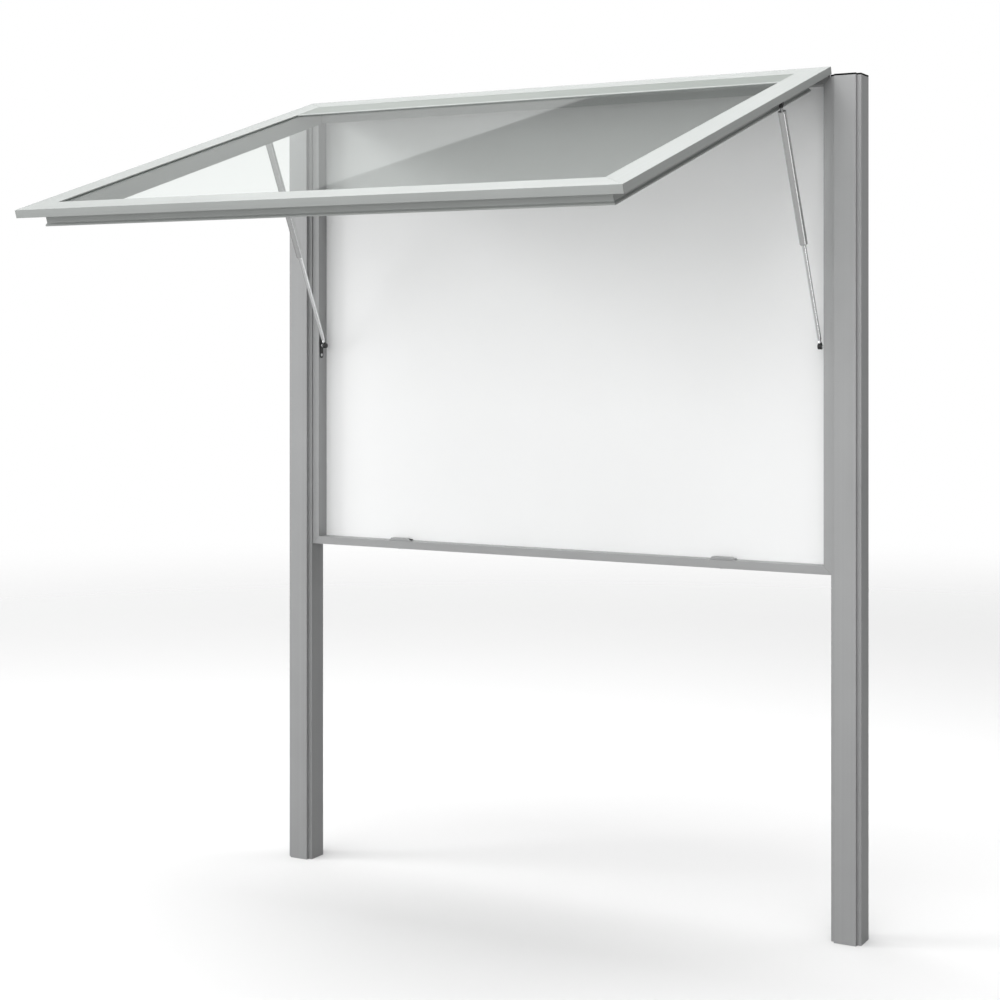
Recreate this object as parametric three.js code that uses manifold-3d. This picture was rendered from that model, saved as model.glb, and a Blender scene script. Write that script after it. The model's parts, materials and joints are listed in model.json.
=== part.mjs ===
// Lockable notice board: a shallow aluminium case between two posts, closed by a top-hung
// glazed wing that two gas struts hold open. Two push locks in the bottom rail catch the wing.
// Millimetres, +Z up. The origin is on the ground, midway between the posts and on their
// centre line. -Y is the reading side, and "left" and "right" are the reader's.
// The wing is modelled shut and then turned open about its hinge.
import * as THREE from 'three';
import { mergeVertices } from 'three/addons/utils/BufferGeometryUtils.js';
import Module from 'manifold-3d';

const wasm = await Module();
wasm.setup();

// Posts
const POST_SIZE = 70;
const POST_STEP = 9.5;
const POST_WALL = 3;
const POST_BELOW_CASE_TOP = 3;
const CAP_THICKNESS = 4;
const CAP_PLUG_DEPTH = 14;

// Case
const CASE_WIDTH = 1403;
const CASE_HEIGHT = 1115;
const CASE_BOTTOM = 815;
const CASE_SETBACK = 13.5;
const CASE_FACE = 19;
const CASE_INNER_DEPTH = 35;
const CASE_WALL = 2;
const CASE_FIN = 3;
const CASE_REAR_LIP_WIDTH = 6;
const CASE_REAR_LIP = 2;

// Back of the case
const PIN_BOARD_THICKNESS = 3;
const REAR_SHEET_THICKNESS = 1.5;

// Wing
const WING_SIDE_GAP = 1;
const WING_RAIL = 63;
const WING_OVERLAP_TOP = 3.5;
const WING_OVERLAP_BOTTOM = 6.5;
const WING_FLANGE = 17.5;
const WING_DEPTH = 46;
const WING_INNER_SETBACK = 41.5;
const WING_LIP_OUT = 3;
const WING_LIP_RISE = 6.5;
const WING_LIP_EDGE = 3;
const WING_WALL = 2;
const WING_OPEN_DEGREES = 72.4;

// Glazing and header
const GLASS_THICKNESS = 4;
const GLASS_COVER = 3;
const GLASS_BITE = 6;
const HEADER_HEIGHT = 92;
const HEADER_THICKNESS = 2.4;
const HEADER_EDGE_HEIGHT = 8;
const HEADER_EDGE_THICKNESS = 2.4;

// Hinge: a bead along the wing's top rail turns in a socket along the case's top rail
const HINGE_BELOW_EDGE = 5.5;
const HINGE_BEHIND_FLANGE = 3.6;
const HINGE_BEAD_RADIUS = 1.8;
const HINGE_SOCKET_WALL = 1.2;
const HINGE_NECK = 1.2;
const HINGE_MOUTH_MARGIN_DEGREES = 9;
const HINGE_WELD = 0.6;
const HINGE_BEAD_END_GAP = 7;
const HINGE_SOCKET_END_GAP = 3;

// Gas struts
const STRUT_INSET = 30;
const STRUT_TUBE_RADIUS = 9;
const STRUT_TUBE_WALL = 1.5;
const STRUT_TUBE_LENGTH = 310;
const STRUT_TUBE_CHAMFER = 1.2;
const STRUT_ROD_RADIUS = 4.8;
const STRUT_ROD_IN_TUBE = 30;
const STRUT_PISTON_HEIGHT = 8;
const STRUT_GUIDE_HEIGHT = 12;
const STRUT_LOWER_BELOW_CASE_TOP = 605;
const STRUT_LOWER_SETBACK = 24.5;
const STRUT_UPPER_DOWN_WING = 258;
const STRUT_UPPER_DEPTH = 30;

// Ball joints of the struts
const BALL_RADIUS = 4;
const STUD_NECK_RADIUS = 2.2;
const STUD_COLLAR_RADIUS = 4;
const STUD_COLLAR_HEIGHT = 1.7;
const SOCKET_RADIUS = 6.5;
const SOCKET_BACK = 6;
const SOCKET_FRONT = 3.2;
const SHANK_RADIUS = 4.6;
const SHANK_START = 5;
const SHANK_REACH = 17;
const BRACKET_LENGTH = 64;
const BRACKET_WIDTH = 14;
const BRACKET_THICKNESS = 1.5;

// Push locks in the bottom rail
const LOCK_SPREAD = 437.5;
const LOCK_BARREL_RADIUS = 7;
const LOCK_RIM_RADIUS = 9.5;
const LOCK_RIM_HEIGHT = 1.5;
const LOCK_BARREL_ABOVE_RAIL = 3;
const LOCK_FLOOR = 3.5;
const LOCK_BOLT_RADIUS = 4.5;
const LOCK_COLLAR_RADIUS = 5.6;
const LOCK_COLLAR_HEIGHT = 3;
const LOCK_BOLT_BEHIND_LIP = 0.8;
const LOCK_BOLT_BELOW_COVER = 0.5;
const LOCK_BOLT_BELOW_WING = 0.8;
const LOCK_BOLT_RECESS = 0.2;
const LOCK_COVER_LENGTH = 66;
const LOCK_COVER_WIDTH = 16;
const LOCK_COVER_HEIGHT = 7;
const LOCK_COVER_LEFT_BEVEL = 6;
const LOCK_COVER_RIGHT_BEVEL = 15;
const KEY_PLUG_RADIUS = 3;
const KEY_PLUG_DEPTH = 12;
const KEY_SLOT_LENGTH = 4.4;
const KEY_SLOT_WIDTH = 1.2;
const KEY_SLOT_DEPTH = 8;

// Seals, corner cleats and bolts
const SEAL_WIDTH = 4;
const SEAL_THICKNESS = 3.8;
const SEAL_FROM_SIDE = 9;
const SEAL_FROM_ENDS = 18;
const CLEAT_REACH = 48;
const BOLT_RADIUS = 4;
const BOLT_HEAD_RADIUS = 6.5;
const BOLT_HEAD_HEIGHT = 4.5;
const BOLT_NUT_HEIGHT = 6.5;
const BOLT_FROM_CASE_END = 150;

// Clearances
const FIT = 0.3;
const ROLLING_FIT = 0.25;
const PIVOT_FIT = 0.5;
const MITRE_GAP = 0.3;
const OVERRUN = 2;

// Facets of round stretches
const ROUND_SEGMENTS = 24;
const SMALL_SEGMENTS = 16;
const BALL_STEPS = 5;

// Places worked out from the sizes above
const CASE_HALF = CASE_WIDTH / 2;
const CASE_TOP = CASE_BOTTOM + CASE_HEIGHT;
const POST_CENTRE = CASE_HALF + POST_SIZE / 2;
const POST_HEIGHT = CASE_TOP - POST_BELOW_CASE_TOP;
const POST_FACE = -POST_SIZE / 2;
const CASE_FRONT = POST_FACE + CASE_SETBACK;
const BACK_SLOT = PIN_BOARD_THICKNESS + REAR_SHEET_THICKNESS + FIT;
const CASE_DEPTH = CASE_INNER_DEPTH + BACK_SLOT + CASE_REAR_LIP;
const PIN_BOARD_FACE = CASE_FRONT + CASE_INNER_DEPTH;
const STILE_INNER_X = CASE_HALF - CASE_FACE;
const RAIL_TOP = CASE_BOTTOM + CASE_FACE;

const SEAL_GAP = SEAL_THICKNESS + 2 * FIT;
const WING_HALF = CASE_HALF - WING_SIDE_GAP;
const WING_TOP = CASE_TOP + WING_OVERLAP_TOP;
const WING_BOTTOM = CASE_BOTTOM - WING_OVERLAP_BOTTOM;
const WING_FRONT = CASE_FRONT - SEAL_GAP - WING_FLANGE;
const WING_FLANGE_BACK = WING_FRONT + WING_FLANGE;
const WING_WALL_X = WING_HALF - WING_INNER_SETBACK;
const HINGE_Y = WING_FLANGE_BACK + HINGE_BEHIND_FLANGE;
const HINGE_Z = WING_TOP - HINGE_BELOW_EDGE;
const HINGE_BORE_RADIUS = HINGE_BEAD_RADIUS + ROLLING_FIT;
const HINGE_SOCKET_RADIUS = HINGE_BORE_RADIUS + HINGE_SOCKET_WALL;
const GLASS_SLOT_END = GLASS_COVER + GLASS_THICKNESS + 2 * FIT;
const GLASS_FRONT = WING_FRONT + GLASS_COVER + FIT;

const OPEN_ANGLE = THREE.MathUtils.degToRad(WING_OPEN_DEGREES);
const STRUT_X = CASE_HALF - STRUT_INSET;
const LOWER_BALL_HEIGHT = CASE_TOP - STRUT_LOWER_BELOW_CASE_TOP;
const LOWER_BALL = new THREE.Vector3(0, POST_FACE + STRUT_LOWER_SETBACK, LOWER_BALL_HEIGHT);
const UPPER_BALL = new THREE.Vector3(0, WING_FRONT + STRUT_UPPER_DEPTH, WING_TOP - STRUT_UPPER_DOWN_WING);

const LIP_FRONT = WING_FRONT + WING_DEPTH - WING_LIP_RISE;
const LOCK_Y = LIP_FRONT - LOCK_BOLT_BEHIND_LIP - LOCK_BOLT_RADIUS;
const LOCK_BOLT_TOP = RAIL_TOP + LOCK_COVER_HEIGHT - LOCK_BOLT_BELOW_COVER;
const LOCK_TRAVEL = WING_BOTTOM + WING_INNER_SETBACK - LOCK_BOLT_BELOW_WING - LOCK_BOLT_TOP;
const LOCK_RIM_BOTTOM = CASE_BOTTOM - LOCK_RIM_HEIGHT;
const LOCK_BOLT_BOTTOM = LOCK_RIM_BOTTOM + LOCK_BOLT_RECESS;
const LOCK_CHAMBER_FLOOR = LOCK_RIM_BOTTOM + LOCK_FLOOR;

// Finishes
const finish = (color, roughness, metalness) => new THREE.MeshStandardMaterial({ color, roughness, metalness });
const anodised = () => finish(0xa9abab, 0.42, 0.85);
const wingAnodised = () => finish(0xb4b8b6, 0.38, 0.85);
const blackPlastic = () => finish(0x141515, 0.5, 0);
const blackSteel = () => finish(0x1b1c1d, 0.45, 0.4);
const rubber = () => finish(0x1d1e1e, 0.85, 0);
const brightSteel = () => finish(0xc9cbcc, 0.2, 1);
const tubeGrey = () => finish(0x8f9291, 0.35, 0.7);
const boardWhite = () => finish(0xf3f4f3, 0.45, 0);
const headerGreen = () => finish(0xc3cdc2, 0.5, 0);
const glassClear = () => finish(0xc5d0c9, 0.05, 0);

// Unit directions
const RIGHT = new THREE.Vector3(1, 0, 0);
const LEFT = new THREE.Vector3(-1, 0, 0);
const BACK = new THREE.Vector3(0, 1, 0);
const UP = new THREE.Vector3(0, 0, 1);
const DOWN = new THREE.Vector3(0, 0, -1);
const sides = { left: -1, right: 1 };

// Turns a closed mesh into a solid that can be cut and joined.
function solid(geometry) {
  geometry.deleteAttribute('normal');
  geometry.deleteAttribute('uv');
  const merged = mergeVertices(geometry);
  return new wasm.Manifold(new wasm.Mesh({
    numProp: 3,
    vertProperties: new Float32Array(merged.attributes.position.array),
    triVerts: new Uint32Array(merged.index.array),
  }));
}

// Turns a solid back into a mesh geometry.
function shell(body) {
  const mesh = body.getMesh();
  const geometry = new THREE.BufferGeometry();
  geometry.setAttribute('position', new THREE.BufferAttribute(mesh.vertProperties, mesh.numProp));
  geometry.setIndex(new THREE.BufferAttribute(mesh.triVerts, 1));
  geometry.computeVertexNormals();
  return geometry;
}

// Cuts every tool out of a geometry.
function cut(geometry, ...tools) {
  return shell(tools.reduce((body, tool) => body.subtract(solid(tool)), solid(geometry)));
}

// Joins geometries into one.
function join(first, ...others) {
  return shell(others.reduce((body, other) => body.add(solid(other)), solid(first)));
}

function named(name, geometry, material) {
  const mesh = new THREE.Mesh(geometry, material);
  mesh.name = name;
  return mesh;
}

// A box between two opposite corners, in any order.
function block(from, to) {
  const size = from.map((value, i) => Math.abs(to[i] - value));
  const middle = from.map((value, i) => (value + to[i]) / 2);
  return new THREE.BoxGeometry(...size).translate(...middle);
}

// A round piece about a direction. Its [radius, height] profile runs anticlockwise, from the
// axis back to the axis or round to its own start.
function turned(profile, segments, direction, place) {
  const points = profile.map(([radius, height]) => new THREE.Vector2(radius, height));
  const geometry = new THREE.LatheGeometry(points, segments);
  const turn = new THREE.Quaternion().setFromUnitVectors(BACK, direction);
  return geometry.applyQuaternion(turn).translate(...place);
}

function cylinder(radius, from, to, segments, direction, place) {
  return turned([[0, from], [radius, from], [radius, to], [0, to]], segments, direction, place);
}

// A section of [u, v] points with its holes.
function section(points, holes) {
  const path = (row) => row.map(([u, v]) => new THREE.Vector2(u, v));
  const shape = new THREE.Shape(path(points));
  shape.holes = holes.map((hole) => new THREE.Path(path(hole)));
  return shape;
}

// Extrudes a section from a corner, square to its u and v directions.
function bar(shape, length, corner, u, v) {
  const geometry = new THREE.ExtrudeGeometry(shape, { depth: length, bevelEnabled: false });
  const along = new THREE.Vector3().crossVectors(u, v);
  return geometry.applyMatrix4(new THREE.Matrix4().makeBasis(u, v, along).setPosition(...corner));
}

// One side of an upright rectangular frame, mitred at both ends. u runs inward from the
// frame's edge and v backward from its front.
function frameSide(shape, side, half, bottom, top, front) {
  const height = top - bottom;
  const { corner, inward, length } = {
    left: { corner: [-half, front, bottom], inward: RIGHT, length: height },
    right: { corner: [half, front, top], inward: LEFT, length: height },
    bottom: { corner: [half, front, bottom], inward: UP, length: 2 * half },
    top: { corner: [-half, front, top], inward: DOWN, length: 2 * half },
  }[side];
  const geometry = new THREE.ExtrudeGeometry(shape, { depth: length, bevelEnabled: false });
  const points = geometry.attributes.position;
  for (let i = 0; i < points.count; i += 1) {
    const back = points.getX(i) + MITRE_GAP / Math.SQRT2;
    points.setZ(i, points.getZ(i) > length / 2 ? length - back : back);
  }
  const along = new THREE.Vector3().crossVectors(inward, BACK);
  return geometry.applyMatrix4(new THREE.Matrix4().makeBasis(inward, BACK, along).setPosition(...corner));
}

// Points of an arc round a centre.
function arc(radius, from, to, steps) {
  return Array.from({ length: steps + 1 }, (_, i) => {
    const angle = from + (to - from) * i / steps;
    return [radius * Math.cos(angle), radius * Math.sin(angle)];
  });
}

// Profile of a ball from a circle round its neck up to its pole on the axis.
function ballProfile(radius, neckAngle) {
  return [...arc(radius, neckAngle, Math.PI / 2, BALL_STEPS).slice(0, -1), [0, radius]];
}

// Outline of a square tube whose four corners are stepped in.
function steppedSquare(half, step) {
  const arm = half - step;
  return [
    [-arm, -half], [arm, -half], [arm, -arm], [half, -arm],
    [half, arm], [arm, arm], [arm, half], [-arm, half],
    [-arm, arm], [-half, arm], [-half, -arm], [-arm, -arm],
  ];
}

const boltPlaces = [CASE_BOTTOM + BOLT_FROM_CASE_END, CASE_TOP - BOLT_FROM_CASE_END]
  .map((height) => [CASE_FRONT + CASE_INNER_DEPTH / 2, height]);

// Holes for the bolts through the side of the case and the inner wall of the post.
function boltHoles(side) {
  const reach = CASE_WALL + POST_WALL + OVERRUN;
  return boltPlaces.map(([y, z]) => (
    cylinder(BOLT_RADIUS + FIT, -reach, reach, SMALL_SEGMENTS, RIGHT, [side * CASE_HALF, y, z])
  ));
}

function post(name, side) {
  const outer = steppedSquare(POST_SIZE / 2, POST_STEP);
  const inner = steppedSquare(POST_SIZE / 2 - POST_WALL, POST_STEP);
  const tube = bar(section(outer, [inner]), POST_HEIGHT, [side * POST_CENTRE, 0, 0], RIGHT, BACK);
  return named(name, cut(tube, ...boltHoles(side)), anodised());
}

function postCap(name, side) {
  const x = side * POST_CENTRE;
  const plate = section(steppedSquare(POST_SIZE / 2, POST_STEP), []);
  const plug = section(steppedSquare(POST_SIZE / 2 - POST_WALL - FIT, POST_STEP), []);
  return named(name, join(
    bar(plate, CAP_THICKNESS, [x, 0, POST_HEIGHT], RIGHT, BACK),
    bar(plug, CAP_PLUG_DEPTH + CAP_THICKNESS / 2, [x, 0, POST_HEIGHT - CAP_PLUG_DEPTH], RIGHT, BACK),
  ), blackPlastic());
}

// Case section: a tube, then a fin and a lip behind it that hold the back.
const caseOuter = [
  [0, 0], [CASE_FACE, 0], [CASE_FACE, CASE_INNER_DEPTH], [CASE_FIN, CASE_INNER_DEPTH],
  [CASE_FIN, CASE_INNER_DEPTH + BACK_SLOT], [CASE_REAR_LIP_WIDTH, CASE_INNER_DEPTH + BACK_SLOT],
  [CASE_REAR_LIP_WIDTH, CASE_DEPTH], [0, CASE_DEPTH],
];
const caseHollow = [
  [CASE_WALL, CASE_WALL], [CASE_FACE - CASE_WALL, CASE_WALL],
  [CASE_FACE - CASE_WALL, CASE_INNER_DEPTH - CASE_WALL], [CASE_WALL, CASE_INNER_DEPTH - CASE_WALL],
];

// The top rail is stepped along its front edge, where it carries the hinge socket.
const STEP_HEIGHT = CASE_TOP - HINGE_Z + HINGE_SOCKET_RADIUS - HINGE_WELD;
const STEP_DEPTH = HINGE_Y - CASE_FRONT + HINGE_SOCKET_RADIUS - HINGE_WELD;
const topOuter = [[0, STEP_DEPTH], [STEP_HEIGHT, STEP_DEPTH], [STEP_HEIGHT, 0], ...caseOuter.slice(1)];
const topHollow = [
  [CASE_WALL, STEP_DEPTH + CASE_WALL], [STEP_HEIGHT + CASE_WALL, STEP_DEPTH + CASE_WALL],
  [STEP_HEIGHT + CASE_WALL, CASE_WALL], ...caseHollow.slice(1),
];

// The socket's mouth is as wide as the neck of the wing's bead needs for its swing.
function hingeSocket() {
  const margin = THREE.MathUtils.degToRad(HINGE_MOUTH_MARGIN_DEGREES);
  const spread = Math.asin(HINGE_NECK / 2 / HINGE_BORE_RADIUS) + margin;
  const from = Math.PI + spread;
  const to = 3 * Math.PI - OPEN_ANGLE - spread;
  const outer = arc(HINGE_SOCKET_RADIUS, from, to, ROUND_SEGMENTS);
  const inner = arc(HINGE_BORE_RADIUS, to, from, ROUND_SEGMENTS);
  const half = CASE_HALF - HINGE_SOCKET_END_GAP;
  return bar(section([...outer, ...inner], []), 2 * half, [-half, HINGE_Y, HINGE_Z], BACK, UP);
}

// Room for the hinge socket in the upper ends of the stiles.
function hingeRoom() {
  return block(
    [-CASE_WIDTH, CASE_FRONT - OVERRUN, HINGE_Z - HINGE_SOCKET_RADIUS - FIT],
    [CASE_WIDTH, HINGE_Y + HINGE_SOCKET_RADIUS + FIT, CASE_TOP + OVERRUN],
  );
}

function caseSide(side, outer, hollow) {
  return frameSide(section(outer, [hollow]), side, CASE_HALF, CASE_BOTTOM, CASE_TOP, CASE_FRONT);
}

function caseTopRail() {
  return named('case_top_rail', join(caseSide('top', topOuter, topHollow), hingeSocket()), anodised());
}

function caseBottomRail() {
  const reach = CASE_FACE + OVERRUN;
  const holes = Object.values(sides).map((side) => (
    cylinder(LOCK_BARREL_RADIUS + FIT, -OVERRUN, reach, ROUND_SEGMENTS, UP, [side * LOCK_SPREAD, LOCK_Y, CASE_BOTTOM])
  ));
  return named('case_bottom_rail', cut(caseSide('bottom', caseOuter, caseHollow), ...holes), anodised());
}

function caseStile(name, side) {
  const stile = caseSide(side, caseOuter, caseHollow);
  return named(name, cut(stile, hingeRoom(), ...boltHoles(sides[side])), anodised());
}

// L-shaped blocks in the hollow rails of a frame's four corners. The rails' hollow lies
// between two distances from the frame's edge.
function cornerCleats(prefix, half, bottom, top, [near, far], front, rear) {
  const corners = {
    lower_left: [-1, bottom, 1], lower_right: [1, bottom, 1],
    upper_left: [-1, top, -1], upper_right: [1, top, -1],
  };
  const tip = far + CLEAT_REACH;
  return Object.entries(corners).map(([corner, [side, edge, upward]]) => {
    const at = (inX, y, inZ) => [side * (half - inX), y, edge + upward * inZ];
    const flat = block(at(near, front, near), at(tip, rear, far));
    const upright = block(at(near, front, near), at(far, rear, tip));
    return named(`${prefix}_cleat_${corner}`, join(flat, upright), brightSteel());
  });
}

function caseCleats() {
  const hollow = [CASE_WALL + FIT, CASE_FACE - CASE_WALL - FIT];
  const front = CASE_FRONT + STEP_DEPTH + CASE_WALL + FIT;
  const rear = PIN_BOARD_FACE - CASE_WALL - FIT;
  return cornerCleats('case', CASE_HALF, CASE_BOTTOM, CASE_TOP, hollow, front, rear);
}

// A sheet held in the groove round the back of the case.
function backSheet(name, front, thickness, material) {
  const edge = CASE_FIN + FIT;
  return named(name, block(
    [edge - CASE_HALF, front, CASE_BOTTOM + edge],
    [CASE_HALF - edge, front + thickness, CASE_TOP - edge],
  ), material);
}

// A bolt with its nut: the head is in the case's stile, the nut inside the post.
function caseBolt(name, side, [y, z]) {
  const tip = POST_WALL + 2 * BOLT_NUT_HEIGHT;
  const head = -CASE_WALL - BOLT_HEAD_HEIGHT;
  const profile = [
    [0, head], [BOLT_HEAD_RADIUS, head], [BOLT_HEAD_RADIUS, -CASE_WALL], [BOLT_RADIUS, -CASE_WALL],
    [BOLT_RADIUS, POST_WALL], [BOLT_HEAD_RADIUS, POST_WALL],
    [BOLT_HEAD_RADIUS, POST_WALL + BOLT_NUT_HEIGHT], [BOLT_RADIUS, POST_WALL + BOLT_NUT_HEIGHT],
    [BOLT_RADIUS, tip], [0, tip],
  ];
  const outward = side > 0 ? RIGHT : LEFT;
  return named(name, turned(profile, SMALL_SEGMENTS, outward, [side * CASE_HALF, y, z]), brightSteel());
}

// The low bevelled cover that clamps a lock's barrel to the top of the bottom rail.
function lockCover(name, side) {
  const half = LOCK_COVER_LENGTH / 2;
  const outline = section([
    [-half, 0], [half, 0], [half - LOCK_COVER_RIGHT_BEVEL, LOCK_COVER_HEIGHT],
    [LOCK_COVER_LEFT_BEVEL - half, LOCK_COVER_HEIGHT],
  ], []);
  const x = side * LOCK_SPREAD;
  const body = bar(outline, LOCK_COVER_WIDTH, [x, LOCK_Y + LOCK_COVER_WIDTH / 2, RAIL_TOP], RIGHT, UP);
  const recess = LOCK_BARREL_ABOVE_RAIL + FIT;
  const place = [x, LOCK_Y, RAIL_TOP];
  const top = LOCK_COVER_HEIGHT + OVERRUN;
  return named(name, cut(
    body,
    cylinder(LOCK_BARREL_RADIUS + FIT, -OVERRUN, recess, ROUND_SEGMENTS, UP, place),
    cylinder(LOCK_BOLT_RADIUS + ROLLING_FIT, -OVERRUN, top, ROUND_SEGMENTS, UP, place),
  ), anodised());
}

// A barrel whose rim bears on the underside of the rail. Its floor and the cover above it
// stop the bolt's collar.
function lockBarrel(name, side) {
  const top = RAIL_TOP + LOCK_BARREL_ABOVE_RAIL;
  const bore = LOCK_BOLT_RADIUS + ROLLING_FIT;
  const chamber = LOCK_COLLAR_RADIUS + ROLLING_FIT;
  const profile = [
    [bore, LOCK_RIM_BOTTOM], [LOCK_RIM_RADIUS, LOCK_RIM_BOTTOM], [LOCK_RIM_RADIUS, CASE_BOTTOM],
    [LOCK_BARREL_RADIUS, CASE_BOTTOM], [LOCK_BARREL_RADIUS, top], [chamber, top],
    [chamber, LOCK_CHAMBER_FLOOR], [bore, LOCK_CHAMBER_FLOOR], [bore, LOCK_RIM_BOTTOM],
  ];
  return named(name, turned(profile, ROUND_SEGMENTS, UP, [side * LOCK_SPREAD, LOCK_Y, 0]), brightSteel());
}

// The push bolt, down in its open place and level with the barrel's rim. The key plug turns in
// the bore in its lower end.
function lockBolt(name, side) {
  const bore = KEY_PLUG_RADIUS + ROLLING_FIT;
  const collar = LOCK_CHAMBER_FLOOR + FIT;
  const collarTop = collar + LOCK_COLLAR_HEIGHT;
  const profile = [
    [0, LOCK_BOLT_BOTTOM + KEY_PLUG_DEPTH], [bore, LOCK_BOLT_BOTTOM + KEY_PLUG_DEPTH],
    [bore, LOCK_BOLT_BOTTOM], [LOCK_BOLT_RADIUS, LOCK_BOLT_BOTTOM], [LOCK_BOLT_RADIUS, collar],
    [LOCK_COLLAR_RADIUS, collar], [LOCK_COLLAR_RADIUS, collarTop], [LOCK_BOLT_RADIUS, collarTop],
    [LOCK_BOLT_RADIUS, LOCK_BOLT_TOP], [0, LOCK_BOLT_TOP],
  ];
  return named(name, turned(profile, ROUND_SEGMENTS, UP, [side * LOCK_SPREAD, LOCK_Y, 0]), brightSteel());
}

function keyPlug(name, side) {
  const place = [side * LOCK_SPREAD, LOCK_Y, LOCK_BOLT_BOTTOM];
  const [x, y, z] = place;
  const plug = cylinder(KEY_PLUG_RADIUS, 0, KEY_PLUG_DEPTH - FIT, ROUND_SEGMENTS, UP, place);
  const slot = block(
    [x - KEY_SLOT_LENGTH / 2, y - KEY_SLOT_WIDTH / 2, z - OVERRUN],
    [x + KEY_SLOT_LENGTH / 2, y + KEY_SLOT_WIDTH / 2, z + KEY_SLOT_DEPTH],
  );
  return named(name, cut(plug, slot), brightSteel());
}

// Wing section: a flat flange with a box behind its inner part, a slot for the pane along
// the inner edge and a lip along the box's rear edge.
const SLOT_FLOOR = WING_RAIL - GLASS_BITE - FIT;
const wingOuter = [
  [0, 0], [WING_RAIL, 0], [WING_RAIL, GLASS_COVER], [SLOT_FLOOR, GLASS_COVER],
  [SLOT_FLOOR, GLASS_SLOT_END], [WING_RAIL, GLASS_SLOT_END], [WING_RAIL, WING_DEPTH],
  [WING_INNER_SETBACK - WING_LIP_OUT, WING_DEPTH],
  [WING_INNER_SETBACK - WING_LIP_OUT, WING_DEPTH - WING_LIP_EDGE],
  [WING_INNER_SETBACK, WING_DEPTH - WING_LIP_RISE], [WING_INNER_SETBACK, WING_FLANGE], [0, WING_FLANGE],
];
const flangeHollow = [
  [WING_WALL, WING_WALL], [WING_INNER_SETBACK - WING_WALL, WING_WALL],
  [WING_INNER_SETBACK - WING_WALL, WING_FLANGE - WING_WALL], [WING_WALL, WING_FLANGE - WING_WALL],
];
const boxHollow = [
  [WING_INNER_SETBACK + WING_WALL, GLASS_SLOT_END + WING_WALL],
  [WING_RAIL - WING_WALL, GLASS_SLOT_END + WING_WALL],
  [WING_RAIL - WING_WALL, WING_DEPTH - WING_WALL], [WING_INNER_SETBACK + WING_WALL, WING_DEPTH - WING_WALL],
];

function wingSide(side) {
  const shape = section(wingOuter, [flangeHollow, boxHollow]);
  return frameSide(shape, side, WING_HALF, WING_BOTTOM, WING_TOP, WING_FRONT);
}

// The bead and its neck along the back of the wing's top rail.
function hingeBead() {
  const half = WING_HALF - HINGE_BEAD_END_GAP;
  const neck = HINGE_NECK / 2;
  const root = -HINGE_BEHIND_FLANGE - HINGE_WELD;
  const spread = Math.asin(neck / HINGE_BEAD_RADIUS);
  const bead = arc(HINGE_BEAD_RADIUS, spread - Math.PI, Math.PI - spread, ROUND_SEGMENTS);
  const shape = section([[root, neck], [root, -neck], ...bead], []);
  return bar(shape, 2 * half, [-half, HINGE_Y, HINGE_Z], BACK, UP);
}

function wingCleats() {
  const hollow = [WING_INNER_SETBACK + WING_WALL + FIT, WING_RAIL - WING_WALL - FIT];
  const rear = WING_FRONT + WING_DEPTH - WING_WALL - FIT;
  return cornerCleats('wing', WING_HALF, WING_BOTTOM, WING_TOP, hollow, WING_FLANGE_BACK, rear);
}

function pane() {
  const edge = WING_RAIL - GLASS_BITE;
  return named('glass_pane', block(
    [edge - WING_HALF, GLASS_FRONT, WING_BOTTOM + edge],
    [WING_HALF - edge, GLASS_FRONT + GLASS_THICKNESS, WING_TOP - edge],
  ), glassClear());
}

// The header and the strip below it lie on the front of the pane.
function headerStrip(name, top, height, thickness, material) {
  const half = WING_HALF - WING_RAIL - FIT;
  const rear = GLASS_FRONT - FIT;
  return named(name, block([-half, rear - thickness, top - height], [half, rear, top]), material);
}

function header() {
  const top = WING_TOP - WING_RAIL - FIT;
  const lower = top - HEADER_HEIGHT - FIT;
  return [
    headerStrip('header_panel', top, HEADER_HEIGHT, HEADER_THICKNESS, headerGreen()),
    headerStrip('header_edge', lower, HEADER_EDGE_HEIGHT, HEADER_EDGE_THICKNESS, boardWhite()),
  ];
}

// Seals on the back of the wing's flange, shown as they bear on the case.
function seals() {
  const front = WING_FLANGE_BACK + FIT;
  const rear = front + SEAL_THICKNESS;
  const side = WING_HALF - SEAL_FROM_SIDE;
  const low = WING_BOTTOM + SEAL_FROM_ENDS;
  const high = WING_TOP - SEAL_FROM_ENDS;
  const inside = side - SEAL_WIDTH - FIT;
  const strips = {
    left: [[-side, front, low], [SEAL_WIDTH - side, rear, high]],
    right: [[side, front, low], [side - SEAL_WIDTH, rear, high]],
    bottom: [[-inside, front, low], [inside, rear, low + SEAL_WIDTH]],
    top: [[-inside, front, high], [inside, rear, high - SEAL_WIDTH]],
  };
  return Object.entries(strips).map(([name, [from, to]]) => named(`seal_${name}`, block(from, to), rubber()));
}

// The flat plate that carries a ball stud. It stands off a wall by a gap, on the side given.
function bracket(name, wallX, away, gap, y, z) {
  return named(name, block(
    [wallX + away * gap, y - BRACKET_WIDTH / 2, z - BRACKET_LENGTH / 2],
    [wallX + away * (gap + BRACKET_THICKNESS), y + BRACKET_WIDTH / 2, z + BRACKET_LENGTH / 2],
  ), blackSteel());
}

// A ball stud. Its ball is at the place given and its collar starts a foot's length before it.
function ballStud(name, foot, direction, place) {
  const profile = [
    [0, -foot], [STUD_COLLAR_RADIUS, -foot], [STUD_COLLAR_RADIUS, STUD_COLLAR_HEIGHT - foot],
    [STUD_NECK_RADIUS, STUD_COLLAR_HEIGHT - foot],
    ...ballProfile(BALL_RADIUS, -Math.acos(STUD_NECK_RADIUS / BALL_RADIUS)),
  ];
  return named(name, turned(profile, ROUND_SEGMENTS, direction, place), brightSteel());
}

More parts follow.
